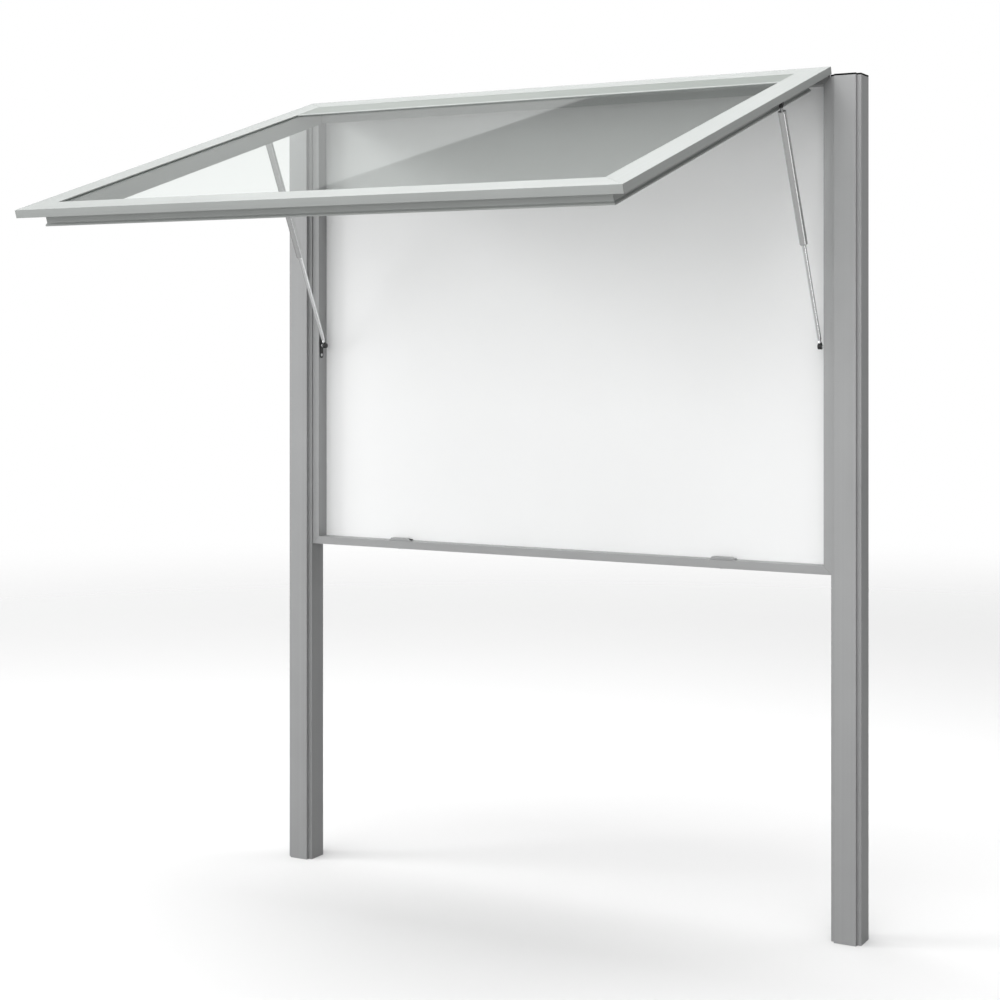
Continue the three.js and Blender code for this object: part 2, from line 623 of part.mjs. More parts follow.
// A round socket that holds the ball, with a shank along the strut.
function ballSocket(name, direction, shankDirection, place) {
  const hollow = BALL_RADIUS + ROLLING_FIT;
  const profile = [
    ...ballProfile(hollow, -Math.asin(SOCKET_FRONT / hollow)).reverse(),
    [SOCKET_RADIUS, -SOCKET_FRONT], [SOCKET_RADIUS, SOCKET_BACK], [0, SOCKET_BACK],
  ];
  const cup = turned(profile, ROUND_SEGMENTS, direction, place);
  const shank = cylinder(SHANK_RADIUS, SHANK_START, SHANK_REACH, ROUND_SEGMENTS, shankDirection, place);
  return named(name, join(cup, shank), blackPlastic());
}

// Turns a point of the shut wing to its open place.
function opened(point) {
  const hinge = new THREE.Vector3(0, HINGE_Y, HINGE_Z);
  return point.clone().sub(hinge).applyAxisAngle(RIGHT, -OPEN_ANGLE).add(hinge);
}

const STRUT_TOP = opened(UPPER_BALL);
const STRUT_LENGTH = STRUT_TOP.distanceTo(LOWER_BALL);
const STRUT_UP = STRUT_TOP.clone().sub(LOWER_BALL).normalize();
const STRUT_DOWN = STRUT_UP.clone().negate();
const TUBE_TOP = STRUT_LENGTH - SHANK_REACH - FIT;
const TUBE_BOTTOM = TUBE_TOP - STRUT_TUBE_LENGTH;
const TUBE_BORE = STRUT_TUBE_RADIUS - STRUT_TUBE_WALL;

// Profiles of a strut's long pieces, by their height above the ball on the stile.
function tubeProfile() {
  const shoulder = STRUT_TUBE_RADIUS - STRUT_TUBE_CHAMFER;
  const floor = TUBE_TOP - STRUT_TUBE_WALL;
  return [
    [0, floor], [TUBE_BORE, floor], [TUBE_BORE, TUBE_BOTTOM], [shoulder, TUBE_BOTTOM],
    [STRUT_TUBE_RADIUS, TUBE_BOTTOM + STRUT_TUBE_CHAMFER],
    [STRUT_TUBE_RADIUS, TUBE_TOP - STRUT_TUBE_CHAMFER], [shoulder, TUBE_TOP], [0, TUBE_TOP],
  ];
}

function rodProfile() {
  const top = TUBE_BOTTOM + STRUT_ROD_IN_TUBE;
  const piston = TUBE_BORE - ROLLING_FIT;
  return [
    [0, SHANK_REACH + FIT], [STRUT_ROD_RADIUS, SHANK_REACH + FIT],
    [STRUT_ROD_RADIUS, top - STRUT_PISTON_HEIGHT], [piston, top - STRUT_PISTON_HEIGHT],
    [piston, top], [0, top],
  ];
}

function guideProfile() {
  const top = TUBE_BOTTOM + STRUT_GUIDE_HEIGHT;
  const eye = STRUT_ROD_RADIUS + ROLLING_FIT;
  const rim = TUBE_BORE - FIT;
  return [[eye, TUBE_BOTTOM], [rim, TUBE_BOTTOM], [rim, top], [eye, top], [eye, TUBE_BOTTOM]];
}

// One gas strut, from its ball on the stile up to its ball on the wing.
function strut(side, sign) {
  const low = [sign * STRUT_X, LOWER_BALL.y, LOWER_BALL.z];
  const high = [sign * STRUT_X, STRUT_TOP.y, STRUT_TOP.z];
  const [outward, inward] = sign > 0 ? [RIGHT, LEFT] : [LEFT, RIGHT];
  const foot = STILE_INNER_X - BRACKET_THICKNESS - PIVOT_FIT - STRUT_X;
  const name = (piece) => `strut_${side}_${piece}`;
  return [
    named(name('tube'), turned(tubeProfile(), ROUND_SEGMENTS, STRUT_UP, low), tubeGrey()),
    named(name('rod'), turned(rodProfile(), ROUND_SEGMENTS, STRUT_UP, low), brightSteel()),
    named(name('guide'), turned(guideProfile(), ROUND_SEGMENTS, STRUT_UP, low), blackPlastic()),
    ballSocket(name('upper_socket'), outward, STRUT_DOWN, high),
    ballSocket(name('lower_socket'), inward, STRUT_UP, low),
    ballStud(name('lower_stud'), foot, inward, low),
    bracket(name('lower_bracket'), sign * STILE_INNER_X, -sign, 0, LOWER_BALL.y, LOWER_BALL.z),
  ];
}

// The wing's own end of a strut.
function strutAnchor(side, sign) {
  const outward = sign > 0 ? RIGHT : LEFT;
  const foot = STRUT_X - WING_WALL_X - BRACKET_THICKNESS - 2 * FIT;
  return [
    bracket(`strut_${side}_upper_bracket`, sign * WING_WALL_X, sign, FIT, UPPER_BALL.y, UPPER_BALL.z),
    ballStud(`strut_${side}_upper_stud`, foot, outward, [sign * STRUT_X, UPPER_BALL.y, UPPER_BALL.z]),
  ];
}

function wing() {
  const shut = new THREE.Group();
  shut.position.set(0, -HINGE_Y, -HINGE_Z);
  shut.add(
    named('wing_top_rail', join(wingSide('top'), hingeBead()), wingAnodised()),
    named('wing_bottom_rail', wingSide('bottom'), wingAnodised()),
    named('wing_left_stile', wingSide('left'), wingAnodised()),
    named('wing_right_stile', wingSide('right'), wingAnodised()),
    pane(),
    ...header(),
    ...seals(),
    ...wingCleats(),
  );
  for (const [side, sign] of Object.entries(sides)) shut.add(...strutAnchor(side, sign));
  const open = new THREE.Group();
  open.position.set(0, HINGE_Y, HINGE_Z);
  open.rotation.x = -OPEN_ANGLE;
  open.add(shut);
  return open;
}

const board = new THREE.Group();
board.add(
  caseTopRail(),
  caseBottomRail(),
  caseStile('case_left_stile', 'left'),
  caseStile('case_right_stile', 'right'),
  ...caseCleats(),
  backSheet('pin_board', PIN_BOARD_FACE, PIN_BOARD_THICKNESS, boardWhite()),
  backSheet('rear_sheet', PIN_BOARD_FACE + PIN_BOARD_THICKNESS, REAR_SHEET_THICKNESS, anodised()),
  wing(),
);
for (const [side, sign] of Object.entries(sides)) {
  board.add(
    post(`${side}_post`, sign),
    postCap(`${side}_post_cap`, sign),
    lockCover(`lock_${side}_cover`, sign),
    lockBarrel(`lock_${side}_barrel`, sign),
    lockBolt(`lock_${side}_bolt`, sign),
    keyPlug(`lock_${side}_key_plug`, sign),
    ...strut(side, sign),
  );
  boltPlaces.forEach((place, i) => board.add(caseBolt(`case_bolt_${side}_${i + 1}`, sign, place)));
}

export default board;
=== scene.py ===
# %% [markdown]
# # A lockable notice board
# The board is a shallow aluminium case between two posts. A glazed wing, hung along its top
# edge, stands open on two gas struts. This lesson dresses the measured model: it keeps every
# piece where the model has it, eases the hard edges, turns the round parts smoothly and gives
# each surface a finish. All lengths are in metres, +Z is up and the reader stands towards -Y.

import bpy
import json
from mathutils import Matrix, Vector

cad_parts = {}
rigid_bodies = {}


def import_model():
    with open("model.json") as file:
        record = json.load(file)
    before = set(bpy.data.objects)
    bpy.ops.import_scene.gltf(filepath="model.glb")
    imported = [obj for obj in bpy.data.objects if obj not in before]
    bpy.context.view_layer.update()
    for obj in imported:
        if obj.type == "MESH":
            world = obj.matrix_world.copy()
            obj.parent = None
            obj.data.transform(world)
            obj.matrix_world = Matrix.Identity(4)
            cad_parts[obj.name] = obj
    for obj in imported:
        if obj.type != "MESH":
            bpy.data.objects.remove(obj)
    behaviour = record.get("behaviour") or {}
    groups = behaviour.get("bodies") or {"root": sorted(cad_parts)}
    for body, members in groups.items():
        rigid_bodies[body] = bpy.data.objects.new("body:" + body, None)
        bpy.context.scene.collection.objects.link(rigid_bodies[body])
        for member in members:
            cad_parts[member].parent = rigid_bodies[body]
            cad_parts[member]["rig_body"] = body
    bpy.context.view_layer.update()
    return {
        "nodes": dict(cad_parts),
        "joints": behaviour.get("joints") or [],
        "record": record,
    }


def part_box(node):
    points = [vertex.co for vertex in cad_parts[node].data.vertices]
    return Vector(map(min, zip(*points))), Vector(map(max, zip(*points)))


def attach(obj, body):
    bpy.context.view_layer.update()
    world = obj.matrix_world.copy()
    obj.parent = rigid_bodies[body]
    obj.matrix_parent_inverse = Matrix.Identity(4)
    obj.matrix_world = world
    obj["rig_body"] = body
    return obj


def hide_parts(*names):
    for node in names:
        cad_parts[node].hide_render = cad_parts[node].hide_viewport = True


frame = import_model()
nodes = frame["nodes"]

# %% [markdown]
# ## Camera
# The picture was taken from the right, a little above the middle of the board, and it keeps
# the posts upright. A level camera with its lens shifted does the same, as a view camera
# would. The pixel values say where the level line of sight meets the picture.

# %% Camera
import json
import math
import bmesh
import bpy
from mathutils import Matrix, Vector

MM = 0.001
PICTURE_PIXELS = 1000
FOCAL_PIXELS = 1883.354
SIGHT_PIXEL_X = 538.465
SIGHT_PIXEL_Y = 339.693
EYE = Vector((2.1086, -4.0324, 1.3404))
EYE_TURN = math.radians(28.181)
UPRIGHT = math.radians(90)

scene = bpy.context.scene
lens = bpy.data.cameras.new("camera")
lens.lens = lens.sensor_width * FOCAL_PIXELS / PICTURE_PIXELS
lens.shift_x = 0.5 - SIGHT_PIXEL_X / PICTURE_PIXELS
lens.shift_y = SIGHT_PIXEL_Y / PICTURE_PIXELS - 0.5
camera = bpy.data.objects.new("camera", lens)
camera.location = EYE
camera.rotation_euler = (UPRIGHT, 0, EYE_TURN)
scene.collection.objects.link(camera)
scene.camera = camera
print(f"lens {lens.lens:.1f} mm, shift {lens.shift_x:.3f}, {lens.shift_y:.3f}")

# %% [markdown]
# ## Soft boxes
# A wide soft box overhead makes the bright top of the wing and the white floor. One far left
# and one far in front stand low, so that their light reaches the white board under the open
# wing. The right side gets none, which turns the posts' right faces a darker grey. Area lamps
# are used because their size sets how soft a shadow is. A weak strip at the right shows only in
# mirroring surfaces, where it draws the bright line along the struts.

# %% Soft boxes
AIM = Vector((0, -0.3, 1.0))
BOXES = {
    "box_above": {"place": (0, -0.6, 6), "size": (6, 6), "power": 435},
    "box_left": {"place": (-10, -5, 5), "size": (4, 4), "power": 495},
    "box_front": {"place": (0.5, -10, 3.2), "size": (5, 3.5), "power": 160},
}
STRIP = {"place": (2.04, -0.45, 0.83), "size": (0.25, 1.5), "power": 3}


def soft_box(name, place, size, power):
    """A rectangular lamp that faces the board."""
    lamp = bpy.data.lights.new(name, "AREA")
    lamp.shape = "RECTANGLE"
    lamp.size, lamp.size_y = size
    lamp.energy = power
    holder = bpy.data.objects.new(name, lamp)
    holder.location = place
    holder.rotation_euler = (AIM - holder.location).to_track_quat("-Z", "Y").to_euler()
    scene.collection.objects.link(holder)
    return holder


for name, box in BOXES.items():
    soft_box(name, **box)
strip = soft_box("strip_right", **STRIP)
strip.visible_camera = strip.visible_diffuse = strip.visible_transmission = False
print(len(BOXES), "soft boxes and a strip")

# %% [markdown]
# ## Room
# The camera sees plain white behind the board, straight on and through the pane. All other
# rays see a studio room: dim walls and a bright wall in front, which fades out to its sides.
# Mirroring surfaces also see a pale screen at the back left, whose edge is the slanting line in
# the pane. All of it is made from the ray's direction and kind alone, so it stands still like
# walls far away.

# %% Room values
ROOM_DIM = 0.23
FRONT_WALL = {"towards": (0, -1, 0), "light": 0.95}
SCREEN_NORMAL = (-0.2257, 0.3396, -0.9131)
SCREEN_EDGE = 0.0005
SCREEN_LIGHT = 0.47
WHITE_THROUGH_PANE = 1.08
HIGHEST_WHITE = 0.26
WHITE_SEEN = 1.0
UPWARDS = (0, 0, 1)
scene.view_settings.view_transform = "Standard"
world = bpy.data.worlds.new("room")
scene.world = world
world.use_nodes = True
world_tree = world.node_tree
world_tree.nodes.clear()
print("dim room", ROOM_DIM, "with a front wall", FRONT_WALL["light"], "and a screen", SCREEN_LIGHT)


# %% Room nodes
def world_math(kind, first, second):
    """One sum on the room's values; a number or an output may stand on either side."""
    node = world_tree.nodes.new("ShaderNodeMath")
    node.operation = kind
    for socket, value in zip(node.inputs, (first, second)):
        if isinstance(value, (int, float)):
            socket.default_value = value
        else:
            world_tree.links.new(value, socket)
    return node.outputs["Value"]


def world_along(direction, axis):
    """How far a ray points along an axis, from -1 to 1."""
    node = world_tree.nodes.new("ShaderNodeVectorMath")
    node.operation = "DOT_PRODUCT"
    node.inputs[1].default_value = axis
    world_tree.links.new(direction, node.inputs[0])
    return node.outputs["Value"]


def world_ramp(value, low, high, first, second):
    """Runs from the first to the second value while the input goes from low to high."""
    node = world_tree.nodes.new("ShaderNodeMapRange")
    limits = {"From Min": low, "From Max": high, "To Min": first, "To Max": second}
    for name, number in limits.items():
        node.inputs[name].default_value = number
    world_tree.links.new(value, node.inputs["Value"])
    return node.outputs["Result"]


def world_light(strength):
    """A white background of a strength."""
    node = world_tree.nodes.new("ShaderNodeBackground")
    if isinstance(strength, float):
        node.inputs["Strength"].default_value = strength
    else:
        world_tree.links.new(strength, node.inputs["Strength"])
    node.inputs["Color"].default_value = (1, 1, 1, 1)
    return node.outputs["Background"]


def world_mix(share, first, second):
    """Mixes two backgrounds."""
    node = world_tree.nodes.new("ShaderNodeMixShader")
    world_tree.links.new(share, node.inputs["Fac"])
    world_tree.links.new(first, node.inputs[1])
    world_tree.links.new(second, node.inputs[2])
    return node.outputs["Shader"]


direction = world_tree.nodes.new("ShaderNodeTexCoord").outputs["Generated"]
path = world_tree.nodes.new("ShaderNodeLightPath")
past_edge = world_along(direction, SCREEN_NORMAL)
screen = world_ramp(past_edge, -SCREEN_EDGE, SCREEN_EDGE, 0.0, SCREEN_LIGHT)
above_floor = world_math("GREATER_THAN", world_along(direction, UPWARDS), 0.0)
screen = world_math("MULTIPLY", screen, above_floor)
mirrored = world_math("MULTIPLY", screen, path.outputs["Is Glossy Ray"])
facing = world_math("MAXIMUM", world_along(direction, FRONT_WALL["towards"]), 0.0)
walls = world_math("ADD", world_math("MULTIPLY", facing, FRONT_WALL["light"]), ROOM_DIM)
room = world_light(world_math("ADD", walls, mirrored))
low_ray = world_math("LESS_THAN", world_along(direction, UPWARDS), HIGHEST_WHITE)
through = world_math("MULTIPLY", low_ray, path.outputs["Is Transmission Ray"])
room = world_mix(through, room, world_light(WHITE_THROUGH_PANE))
room = world_mix(path.outputs["Is Camera Ray"], room, world_light(WHITE_SEEN))
room_end = world_tree.nodes.new("ShaderNodeOutputWorld")
world_tree.links.new(room, room_end.inputs["Surface"])
print(len(world_tree.nodes), "room nodes")

# %% [markdown]
# ## Finishes
# Every finish starts from one shader and then gets what the real surface has: drawn lines
# along an extrusion, a slow mottling in an anodised layer, the fine grain of moulded plastic.
# The patterns use Object coordinates, so they sit still on the piece at any pose.

# %% Helpers for the finishes
PATTERN = {"low": 0.3, "high": 0.7}
HALF = 0.5


def finish(name, colour, roughness, metallic=0.0):
    """A plain material and its shader."""
    material = bpy.data.materials.new(name)
    material.use_nodes = True
    shader = material.node_tree.nodes["Principled BSDF"]
    shader.inputs["Base Color"].default_value = (*colour, 1)
    shader.inputs["Roughness"].default_value = roughness
    shader.inputs["Metallic"].default_value = metallic
    return material, shader


def place_on_piece(material, turn=(0, 0, 0), scale=(1, 1, 1)):
    """Object coordinates, turned first and then stretched."""
    tree = material.node_tree
    where = tree.nodes.new("ShaderNodeTexCoord")
    turned = tree.nodes.new("ShaderNodeMapping")
    turned.inputs["Rotation"].default_value = turn
    stretched = tree.nodes.new("ShaderNodeMapping")
    stretched.inputs["Scale"].default_value = scale
    tree.links.new(where.outputs["Object"], turned.inputs["Vector"])
    tree.links.new(turned.outputs["Vector"], stretched.inputs["Vector"])
    return stretched.outputs["Vector"]


def noise(material, vector, scale, detail=2.0):
    """A noise pattern between 0 and 1."""
    tree = material.node_tree
    pattern = tree.nodes.new("ShaderNodeTexNoise")
    pattern.inputs["Scale"].default_value = scale
    pattern.inputs["Detail"].default_value = detail
    tree.links.new(vector, pattern.inputs["Vector"])
    return pattern.outputs["Fac"]


def vary(material, pattern, socket, low, high):
    """Runs a shader value from low to high with a pattern."""
    tree = material.node_tree
    ramp = tree.nodes.new("ShaderNodeMapRange")
    ramp.inputs["From Min"].default_value = PATTERN["low"]
    ramp.inputs["From Max"].default_value = PATTERN["high"]
    ramp.inputs["To Min"].default_value = low
    ramp.inputs["To Max"].default_value = high
    tree.links.new(pattern, ramp.inputs["Value"])
    tree.links.new(ramp.outputs["Result"], socket)


def tint(material, pattern, socket, first, second):
    """Mixes two colours with a pattern."""
    tree = material.node_tree
    mix = tree.nodes.new("ShaderNodeMix")
    mix.data_type = "RGBA"
    mix.inputs["A"].default_value = (*first, 1)
    mix.inputs["B"].default_value = (*second, 1)
    tree.links.new(pattern, mix.inputs["Factor"])
    tree.links.new(mix.outputs["Result"], socket)


def emboss(material, pattern, shader, height, strength):
    """Raises a pattern by a height in metres."""
    tree = material.node_tree
    bump = tree.nodes.new("ShaderNodeBump")
    bump.inputs["Distance"].default_value = height
    bump.inputs["Strength"].default_value = strength
    tree.links.new(pattern, bump.inputs["Height"])
    tree.links.new(bump.outputs["Normal"], shader.inputs["Normal"])


def average(material, first, second):
    """The mean of two patterns."""
    node = material.node_tree.nodes.new("ShaderNodeMath")
    node.operation = "MULTIPLY_ADD"
    node.inputs[1].default_value = HALF
    half = material.node_tree.nodes.new("ShaderNodeMath")
    half.operation = "MULTIPLY"
    half.inputs[1].default_value = HALF
    material.node_tree.links.new(first, node.inputs[0])
    material.node_tree.links.new(second, half.inputs[0])
    material.node_tree.links.new(half.outputs["Value"], node.inputs[2])
    return node.outputs["Value"]


def shades(colour, shares):
    """A darker and a lighter shade of a colour."""
    return [tuple(min(1.0, value * share) for value in colour) for share in shares]


print("pattern helpers ready")

# %% [markdown]
# ## Anodised aluminium
# Extrusions carry very fine lines along their length, left by the die, under a satin anodised
# layer that is a little cloudy and streaked. The layer scatters most of the light, so the
# finish is only partly metallic. The lines have to follow each bar, so the same recipe is made
# for bars along X and along Z, and once more for the opened wing, whose pattern is first turned
# back to the shut wing's upright. The wing is the same aluminium as the posts, but its grey is
# painted lighter: painted light that brightens its top.

# %% Anodised aluminium
LINE_SCALE = 1.0
ACROSS_LINES = 900
ACROSS_STREAKS = 140
ALONG_LINES = 1.5
ALONG_STREAKS = 0.4
CLOUD_SCALE = 7
LINE_HEIGHT = 0.02 * MM
LINE_STRENGTH = 0.35
STREAK_SHARES = (0.88, 1.12)
GLOSS_SPREAD = 0.05
POST_GREY = (0.335, 0.338, 0.34)
# The wing's grey is the posts' aluminium painted lighter, a painted highlight for its bright top.
WING_GREY_PAINTED_LIGHTER = (0.386, 0.402, 0.393)
joints = {joint["name"]: joint for joint in frame["joints"]}
WING_TURN = math.radians(max(joints["wing_hinge"]["range_deg"]))
lines_along = {
    "x": (ALONG_LINES, ACROSS_LINES, ACROSS_LINES),
    "z": (ACROSS_LINES, ACROSS_LINES, ALONG_LINES),
}
streaks_along = {
    "x": (ALONG_STREAKS, ACROSS_STREAKS, ACROSS_STREAKS),
    "z": (ACROSS_STREAKS, ACROSS_STREAKS, ALONG_STREAKS),
}


def drawn_aluminium(name, colour, along, turn=0.0, metallic=0.3, roughness=0.5):
    """Satin anodised aluminium with its drawn lines along one axis."""
    material, shader = finish(name, colour, roughness, metallic)
    lines = noise(material, place_on_piece(material, (turn, 0, 0), lines_along[along]), LINE_SCALE)
    streaks = noise(material, place_on_piece(material, (turn, 0, 0), streaks_along[along]), LINE_SCALE)
    clouds = noise(material, place_on_piece(material, (turn, 0, 0)), CLOUD_SCALE)
    both = average(material, streaks, clouds)
    tint(material, both, shader.inputs["Base Color"], *shades(colour, STREAK_SHARES))
    vary(material, lines, shader.inputs["Roughness"], roughness - GLOSS_SPREAD, roughness + GLOSS_SPREAD)
    emboss(material, lines, shader, LINE_HEIGHT, LINE_STRENGTH)
    return material


upright_aluminium = drawn_aluminium("anodised_upright", POST_GREY, "z")
level_aluminium = drawn_aluminium("anodised_level", POST_GREY, "x")
wing_level = drawn_aluminium("wing_anodised_level_painted_lighter", WING_GREY_PAINTED_LIGHTER, "x", WING_TURN)
wing_upright = drawn_aluminium("wing_anodised_upright_painted_lighter", WING_GREY_PAINTED_LIGHTER, "z", WING_TURN)
print("four aluminium finishes, the wing's turned by", round(math.degrees(WING_TURN), 1), "degrees")

# %% [markdown]
# ## Plastics, rubber and coated steel
# Moulded plastic has a fine grain, the coated brackets a slight orange peel, and the seals
# are dull with a breath of dust. The struts' tubes wear a glossy metallic grey. All are one
# recipe with other colours and grains. The caps also lose most of their sheen.

# %% Grained finishes
GRAIN_HEIGHT = 0.03 * MM
GRAIN_STRENGTH = 0.3
GRAIN_SHARES = (0.9, 1.1)
FAINT_SHEEN = 0.1


def grained(name, colour, roughness, metallic=0.0, grain=2500, spread=GLOSS_SPREAD):
    """A moulded or coated surface with a fine grain."""
    material, shader = finish(name, colour, roughness, metallic)
    spots = noise(material, place_on_piece(material), grain)
    tint(material, spots, shader.inputs["Base Color"], *shades(colour, GRAIN_SHARES))
    vary(material, spots, shader.inputs["Roughness"], roughness - spread, roughness + spread)
    emboss(material, spots, shader, GRAIN_HEIGHT, GRAIN_STRENGTH)
    return material


black_plastic = grained("black_plastic", (0.012, 0.012, 0.0125), 0.4)
cap_plastic = grained("cap_plastic", (0.003, 0.003, 0.003), 0.85)
cap_shader = cap_plastic.node_tree.nodes["Principled BSDF"]
cap_shader.inputs["Specular IOR Level"].default_value = FAINT_SHEEN
black_steel = grained("black_coated_steel", (0.014, 0.014, 0.015), 0.42, grain=1400)
rubber = grained("seal_rubber", (0.03, 0.03, 0.031), 0.8, grain=1800, spread=0.08)
tube_grey = grained("grey_coated_tube", (0.58, 0.585, 0.583), 0.2, metallic=0.8, grain=1600)
print("plastic, coated steel, rubber and tube finishes")

# %% [markdown]
# ## Plated steel
# Rods, studs and lock parts are ground and plated. Their lines run round the piece, which a
# pattern stretched across all three axes alike would hide, so a fine noise only breaks up
# the gloss.

# %% Plated steel
PLATED = (0.8, 0.805, 0.81)
PLATED_SHARES = (0.94, 1.05)
PLATED_GRAIN = 400


def plated(name, roughness):
    """Bright plated steel with a slightly uneven gloss."""
    material, shader = finish(name, PLATED, roughness, 1.0)
    spots = noise(material, place_on_piece(material), PLATED_GRAIN)
    tint(material, spots, shader.inputs["Base Color"], *shades(PLATED, PLATED_SHARES))
    vary(material, spots, shader.inputs["Roughness"], roughness * 0.7, roughness * 1.3)
    return material


bright_steel = plated("plated_steel", 0.2)
zinc_steel = plated("zinc_plated_steel", 0.34)
print("two plated finishes")

# %% [markdown]
# ## Board, header and glass
# The board is a smooth white coated sheet. The header is a grey-green film behind a glossy face,
# left bare, with a paler strip below it. The pane is float glass, faintly green. A render would
# leave a hard black shadow behind it, so a share of the lamps' light, and a larger share of the
# light that white surfaces throw, passes straight through.

# %% Board and header finishes
BOARD_WHITE = (0.86, 0.865, 0.865)
HEADER_GREEN = (0.238, 0.26, 0.243)
EDGE_WHITE = (0.41, 0.43, 0.42)
COAT_ROUGHNESS = 0.08
MOTTLE_SCALE = 5
MOTTLE_SHARES = (0.985, 1.01)
MOTTLE_GLOSS = 0.04
PEEL_SCALE = 700
PEEL_STRENGTH = 0.12


def coated_sheet(name, colour, roughness, coat):
    """A smooth coated sheet with a soft mottling and a slight orange peel."""
    material, shader = finish(name, colour, roughness)
    shader.inputs["Coat Weight"].default_value = coat
    shader.inputs["Coat Roughness"].default_value = COAT_ROUGHNESS
    clouds = noise(material, place_on_piece(material), MOTTLE_SCALE)
    peel = noise(material, place_on_piece(material), PEEL_SCALE)
    tint(material, clouds, shader.inputs["Base Color"], *shades(colour, MOTTLE_SHARES))
    vary(material, clouds, shader.inputs["Roughness"], roughness - MOTTLE_GLOSS, roughness + MOTTLE_GLOSS)
    emboss(material, peel, shader, GRAIN_HEIGHT, PEEL_STRENGTH)
    return material


board_white = coated_sheet("board_white", BOARD_WHITE, 0.5, 0.05)
header_film = coated_sheet("header_film", HEADER_GREEN, 0.4, 0.3)
edge_film = coated_sheet("header_edge_film", EDGE_WHITE, 0.4, 0.3)
print("board, header and edge finishes")

# %% Glass
GLASS_GREEN = (0.93, 0.965, 0.945)
GLASS_BEND = 1.08
LAMPS_THROUGH = (0.42, 0.42, 0.42)
BOUNCES_THROUGH = (0.75, 0.755, 0.75)
DUST_SCALE = 11
DUST_DETAIL = 5.0
DUST_ROUGHNESS = 0.012


def clear_glass(name):
    """Float glass that lets lamps and bounced light through."""
    material, shader = finish(name, GLASS_GREEN, 0.0)
    shader.inputs["Transmission Weight"].default_value = 1.0
    shader.inputs["IOR"].default_value = GLASS_BEND
    dust = noise(material, place_on_piece(material), DUST_SCALE, DUST_DETAIL)
    vary(material, dust, shader.inputs["Roughness"], 0.0, DUST_ROUGHNESS)
    tree = material.node_tree
    path = tree.nodes.new("ShaderNodeLightPath")
    look = shader.outputs["BSDF"]
    for ray, colour in (("Is Shadow Ray", LAMPS_THROUGH), ("Is Diffuse Ray", BOUNCES_THROUGH)):
        clear = tree.nodes.new("ShaderNodeBsdfTransparent")
        clear.inputs["Color"].default_value = (*colour, 1)
        mix = tree.nodes.new("ShaderNodeMixShader")
        tree.links.new(path.outputs[ray], mix.inputs["Fac"])
        tree.links.new(look, mix.inputs[1])
        tree.links.new(clear.outputs["BSDF"], mix.inputs[2])
        look = mix.outputs["Shader"]
    tree.links.new(look, tree.nodes["Material Output"].inputs["Surface"])
    return material


glass = clear_glass("pane_glass")
print("glass ready")

# %% [markdown]
# ## Floor
# The floor is a round sheet, lit almost to white. It fades out before it ends, so the room's
# white takes over and no horizon shows behind the posts. To all rays but the camera's it is a
# greyer floor, or the light that it throws back would take the darker grey off the posts' sides.

# %% Floor
FLOOR_RADIUS = 16
FLOOR_FADE_FROM = 2.0
FLOOR_FADE_TO = 9.0
FLOOR_SEEN = 0.81
FLOOR_THROWN = 0.4
FLOOR_CENTRE = (0.3, -0.6, 0)
FLOOR_STEPS = 96
FLOOR_ROUGHNESS = 0.9

bm = bmesh.new()
bmesh.ops.create_circle(bm, cap_ends=True, segments=FLOOR_STEPS, radius=FLOOR_RADIUS)
floor_mesh = bpy.data.meshes.new("floor")
bm.to_mesh(floor_mesh)
bm.free()
floor = bpy.data.objects.new("floor", floor_mesh)
scene.collection.objects.link(floor)
floor_finish, shader = finish("floor", (FLOOR_THROWN,) * 3, FLOOR_ROUGHNESS)
shader.inputs["Specular IOR Level"].default_value = FAINT_SHEEN
tree = floor_finish.node_tree
seen = tree.nodes.new("ShaderNodeBsdfDiffuse")
seen.inputs["Color"].default_value = (FLOOR_SEEN,) * 3 + (1,)
ray = tree.nodes.new("ShaderNodeLightPath")
look = tree.nodes.new("ShaderNodeMixShader")
tree.links.new(ray.outputs["Is Camera Ray"], look.inputs["Fac"])
tree.links.new(shader.outputs["BSDF"], look.inputs[1])
tree.links.new(seen.outputs["BSDF"], look.inputs[2])
where = tree.nodes.new("ShaderNodeTexCoord")
centred = tree.nodes.new("ShaderNodeVectorMath")
centred.operation = "DISTANCE"
centred.inputs[1].default_value = FLOOR_CENTRE
fade = tree.nodes.new("ShaderNodeMapRange")
fade.interpolation_type = "SMOOTHSTEP"
fade.inputs["From Min"].default_value = FLOOR_FADE_FROM
fade.inputs["From Max"].default_value = FLOOR_FADE_TO
gone = tree.nodes.new("ShaderNodeBsdfTransparent")
mix = tree.nodes.new("ShaderNodeMixShader")
tree.links.new(where.outputs["Object"], centred.inputs[0])
tree.links.new(centred.outputs["Value"], fade.inputs["Value"])
tree.links.new(fade.outputs["Result"], mix.inputs["Fac"])
tree.links.new(look.outputs["Shader"], mix.inputs[1])
tree.links.new(gone.outputs["BSDF"], mix.inputs[2])
tree.links.new(mix.outputs["Shader"], tree.nodes["Material Output"].inputs["Surface"])
floor_mesh.materials.append(floor_finish)
print("floor fades from", FLOOR_FADE_FROM, "to", FLOOR_FADE_TO, "m")

# %% [markdown]
# ## Turning a mesh into a piece
# Each new piece rides on one body of the model. It may stand for a node of the model, and
# then it takes that node's body. Flat faces next to eased edges keep flat shading through
# weighted normals.

# %% Helper that shows a piece
SHARP_ANGLE = math.radians(50)
slot_of = {row["node"]: row["material_slot"] for row in frame["record"]["subparts"]}


